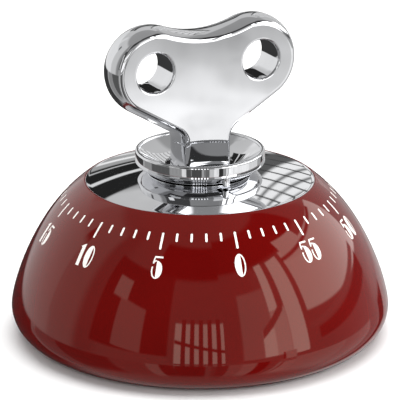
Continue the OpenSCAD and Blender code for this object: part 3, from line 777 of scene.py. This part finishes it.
# ---------------------------------------------------------------- finishes of the CAD nodes
def slot_of_nodes():
    """Slot of each CAD node that a material row of the record names. No row names a node, so this is
    empty and every kept CAD node takes the steel finish, which is a fault."""
    slots = {}
    for row in frame["record"]["materials"]:
        for node in row.get("nodes", []):
            slots[node] = row["slot"]
    return slots


NODE_SLOTS = slot_of_nodes()
for node_name, node in frame["nodes"].items():
    if not node.hide_render:
        node.data.materials.clear()
        node.data.materials.append(FINISHES[NODE_SLOTS.get(node_name, "steel")])
        node.data.shade_smooth()
        node.data.set_sharp_from_angle(angle=math.radians(30))


# ---------------------------------------------------------------- floor, surroundings and lights
FLOOR_R = 4.0
FLOOR_SIDES = 96


def make_floor():
    """A pale floor. The gloss does not see it: the surroundings hold the table that it mirrors."""
    mesh = bpy.data.meshes.new("floor")
    ring = [(FLOOR_R * math.cos(a), FLOOR_R * math.sin(a), 0.0)
            for a in [2 * math.pi * k / FLOOR_SIDES for k in range(FLOOR_SIDES)]]
    mesh.from_pydata(ring, [], [tuple(range(FLOOR_SIDES))])
    floor = bpy.data.objects.new("floor", mesh)
    bpy.context.scene.collection.objects.link(floor)
    mesh.materials.append(finish("floor_card", (0.86, 0.86, 0.86), 0.0, 0.8, 400, spread=0.02,
                                 detail=1.0))
    floor.visible_glossy = False


# Bearings from and to, and the light, of each part of the table top. Later bands lie over earlier.
TABLE_BANDS = [
    (-182, -156, 0.30), (-150, -141, 0.10), (-141, -133, 0.95), (-133, -110, 0.38),
    (-110, -70, 0.12), (-70, -50, 0.32), (-46.5, -45, 0.60), (-44.5, 26, 0.05), (26, 48, 0.70),
    (48, 58, 0.06), (58, 72, 0.45), (72, 98, 0.90), (98, 136, 1.15), (147, 153, 0.40),
    (153, 161, 0.04), (161, 170, 1.10), (170, 178, 0.75), (178, 182, 0.18), (-182, -175, 0.18),
    (-172, -168.5, 0.50), (-168.5, -150, 0.09),
]


class Surroundings:
    """The studio seen in the gloss: a grey room with soft bright windows, built from panels.
    A panel spans bearings (0 behind the object, 90 to its right, 180 in front) and heights."""

    SOFT = 0.6

    def __init__(self):
        world = bpy.data.worlds.new("studio")
        world.use_nodes = True
        bpy.context.scene.world = world
        n = self.n = Nodes(world.node_tree)
        split = n.add("ShaderNodeSeparateXYZ")
        self.look = n.add("ShaderNodeTexCoord").outputs["Generated"]
        n.link(self.look, split.inputs[0])
        x, y, z = split.outputs
        self.bearing = n.math("DEGREES", n.math("ARCTAN2", x, y))
        self.height = n.math("DEGREES", n.math("ARCSINE", z))
        self.value = 0.0

    def between(self, value, low, high, soft):
        n = self.n
        rise = n.ramp(value, low - soft, low + soft, 0.0, 1.0, smooth=True)
        fall = n.ramp(value, high - soft, high + soft, 1.0, 0.0, smooth=True)
        return n.math("MULTIPLY", rise, fall)

    def paint(self, mask, light):
        n = self.n
        mix = n.add("ShaderNodeMix", data_type="FLOAT")
        n.feed(mix, {0: mask, 2: self.value, 3: light})
        self.value = mix.outputs[0]

    def panel(self, west, east, bottom, top, light, soft=None, lean=0.0):
        """lean raises both edges by so many degrees of height for each degree of bearing."""
        n = self.n
        soft = self.SOFT if soft is None else soft
        height = self.height
        if lean:
            middle = (west + east) / 2
            rise = n.math("MULTIPLY", n.math("SUBTRACT", self.bearing, middle), lean)
            height = n.math("SUBTRACT", height, rise)
        mask = n.math("MULTIPLY", self.between(self.bearing, west, east, soft),
                      self.between(height, bottom, top, soft))
        self.paint(mask, light)

    def bars(self, west, east, bottom, top, light, count, share):
        """Upright glazing bars across a window."""
        pitch = (east - west) / count
        for k in range(1, count):
            middle = west + pitch * k
            self.panel(middle - pitch * share / 2, middle + pitch * share / 2, bottom, top, light,
                       soft=0.3)

    def table(self):
        """What the gloss sees below the horizon: a pale table top with the room mirrored in it."""
        for west, east, light in TABLE_BANDS:
            self.panel(west, east, -91, -9, light, soft=0.8)
        n = self.n
        pale = n.ramp(self.height, -16.7, -15.2, 1.28, 0.64)
        self.panel(136, 147, -91, -9, pale, soft=0.8)
        self.panel(134, 143.2, -91, -16.85, 1.32, soft=0.12)
        self.panel(143.3, 144.5, -91, -16.6, 0.05, soft=0.12)
        self.panel(-182, 182, -91, -52, 0.5, soft=8)
        stretch = n.add("ShaderNodeMapping")
        n.feed(stretch, {"Vector": self.look, "Scale": (44.0, 44.0, 110.0)})
        veins = n.add("ShaderNodeTexNoise")
        n.feed(veins, {"Vector": stretch.outputs[0], "Scale": 1.0, "Detail": 4.0,
                       "Distortion": 0.8})
        below = n.ramp(self.height, -12, -6, 1.0, 0.0, smooth=True)
        change = n.ramp(veins.outputs["Fac"], 0.3, 0.7, -0.22, 0.12)
        factor = n.math("ADD", n.math("MULTIPLY", change, below), 1.0)
        self.value = n.math("MULTIPLY", self.value, factor)

    def done(self):
        n = self.n
        colour = n.add("ShaderNodeCombineColor")
        n.feed(colour, {0: self.value, 1: self.value, 2: self.value})
        rays = n.add("ShaderNodeLightPath")
        mix = n.add("ShaderNodeMix", data_type="RGBA")
        n.feed(mix, {0: rays.outputs["Is Camera Ray"], 6: colour.outputs[0],
                     7: (1.0, 1.0, 1.0, 1.0)})
        background = n.add("ShaderNodeBackground")
        n.link(mix.outputs[2], background.inputs[0])
        output = n.add("ShaderNodeOutputWorld")
        n.link(background.outputs[0], output.inputs[0])


def make_surroundings():
    """Panels of (west, east, bottom, top, light), in degrees. Later ones lie over earlier ones."""
    room = Surroundings()
    room.value = room.n.ramp(room.height, 30, 70, 0.42, 0.36)
    # walls
    room.panel(-100, -84, -10, 60, 0.30, soft=5)
    room.panel(-84, -30, -10, 52, 0.70, soft=4)
    room.panel(30, 64, -8, 46, 0.62, soft=4)
    room.panel(-40, 0, -8, 46, 0.85, soft=2)
    room.panel(-62, -56, 2, 38, 0.12, soft=1)
    room.panel(-182, -128, 41, 62, 0.04, soft=2)
    room.panel(84, 182, 44, 66, 0.05, soft=2)
    room.panel(156, 182, -6, 44, 0.34, soft=2)
    room.panel(-182, -146, -6, 42, 0.36, soft=2)
    # doorway on the left, with a pale door
    room.panel(-146, -96, 3, 43, 0.08, soft=1)
    room.panel(-129.5, -110.5, 4, 26, 0.75, lean=0.1)
    room.panel(-115, -104, 26, 35, 1.2)
    # window in front on the left
    room.panel(-182, -150, -20, 22, 2.4)
    room.bars(-182, -150, -21, 24, 0.16, 6, 0.5)
    room.panel(-182, -150, 9, 11, 0.12, lean=0.2)
    room.panel(-182, -150, -8, -5, 0.2)
    # large window on the right
    room.panel(58, 123, 10, 38, 2.9, lean=0.16)
    room.panel(96, 120, 34, 47, 2.6, lean=0.2)
    room.panel(64, 124, 35, 37, 0.25, lean=0.1)
    room.panel(64, 124, 7.5, 10, 0.5)
    room.panel(64, 118, 1, 6.5, 0.12)
    room.panel(149, 169, -3, 33, 0.95, soft=1)
    room.panel(138, 149, -2, 22, 2.3, soft=1)
    room.panel(127, 138, -4, 43, 3.2)
    room.panel(142.8, 149, 22, 44, 3.4)
    room.panel(148, 156, -2, 15, 3.4)
    room.panel(136, 143, -25, 0, 1.5)
    room.panel(143.4, 144.6, -25, 0, 0.05, soft=0.3)
    room.panel(139.5, 156, 16, 20, 0.4, lean=-0.6)
    # behind the object: a pale wall, a dark arch on the left and a glazed wall on the right
    room.panel(-30, 34, 28, 52, 0.66, soft=1.5)
    room.panel(-62, -14, -9, 30, 0.95, soft=3)
    room.panel(-6, 19, 12, 27, 0.02, soft=0.5, lean=-0.85)
    room.panel(-6, 19, 8, 9.5, 1.0, soft=0.4, lean=-0.85)
    room.panel(-6, 19, 4, 5.2, 0.9, soft=0.4, lean=-0.85)
    room.panel(-6, 12, 21.5, 23, 0.85, soft=0.3, lean=-0.85)
    room.panel(-4, 10, 16.2, 16.9, 0.6, soft=0.3, lean=-0.85)
    room.panel(18.5, 36, 0, 43, 0.12, soft=0.3)
    room.panel(20.5, 36, 0, 42, 1.05, soft=0.3)
    room.bars(20.5, 36, 0, 43, 0.07, 9, 0.22)
    for k in range(9):
        room.panel(19, 36, 2 + 4.6 * k, 2.7 + 4.6 * k, 0.06, soft=0.25, lean=0.5)
    room.table()
    room.done()


def make_lamp(name, place, aim, size, power):
    """A soft round lamp that neither the camera nor the gloss sees. Metres and watts."""
    lamp = bpy.data.lights.new(name, "AREA")
    lamp.shape = "DISK"
    lamp.size = size
    lamp.energy = power
    item = bpy.data.objects.new(name, lamp)
    bpy.context.scene.collection.objects.link(item)
    item.location = Vector(place)
    look = Vector(aim) - Vector(place)
    item.rotation_euler = look.to_track_quat("-Z", "Y").to_euler()
    item.visible_glossy = False
    item.visible_camera = False


make_floor()
make_surroundings()
LOW_AIM = (0, 0, 0.03)
make_lamp("soft_top", (0.1, 0.1, 1.4), (0, 0, 0), 1.6, 26)
make_lamp("soft_front", (-0.6, -1.2, 0.9), LOW_AIM, 0.9, 6)
make_lamp("soft_right", (1.3, -0.5, 0.6), LOW_AIM, 0.9, 6)
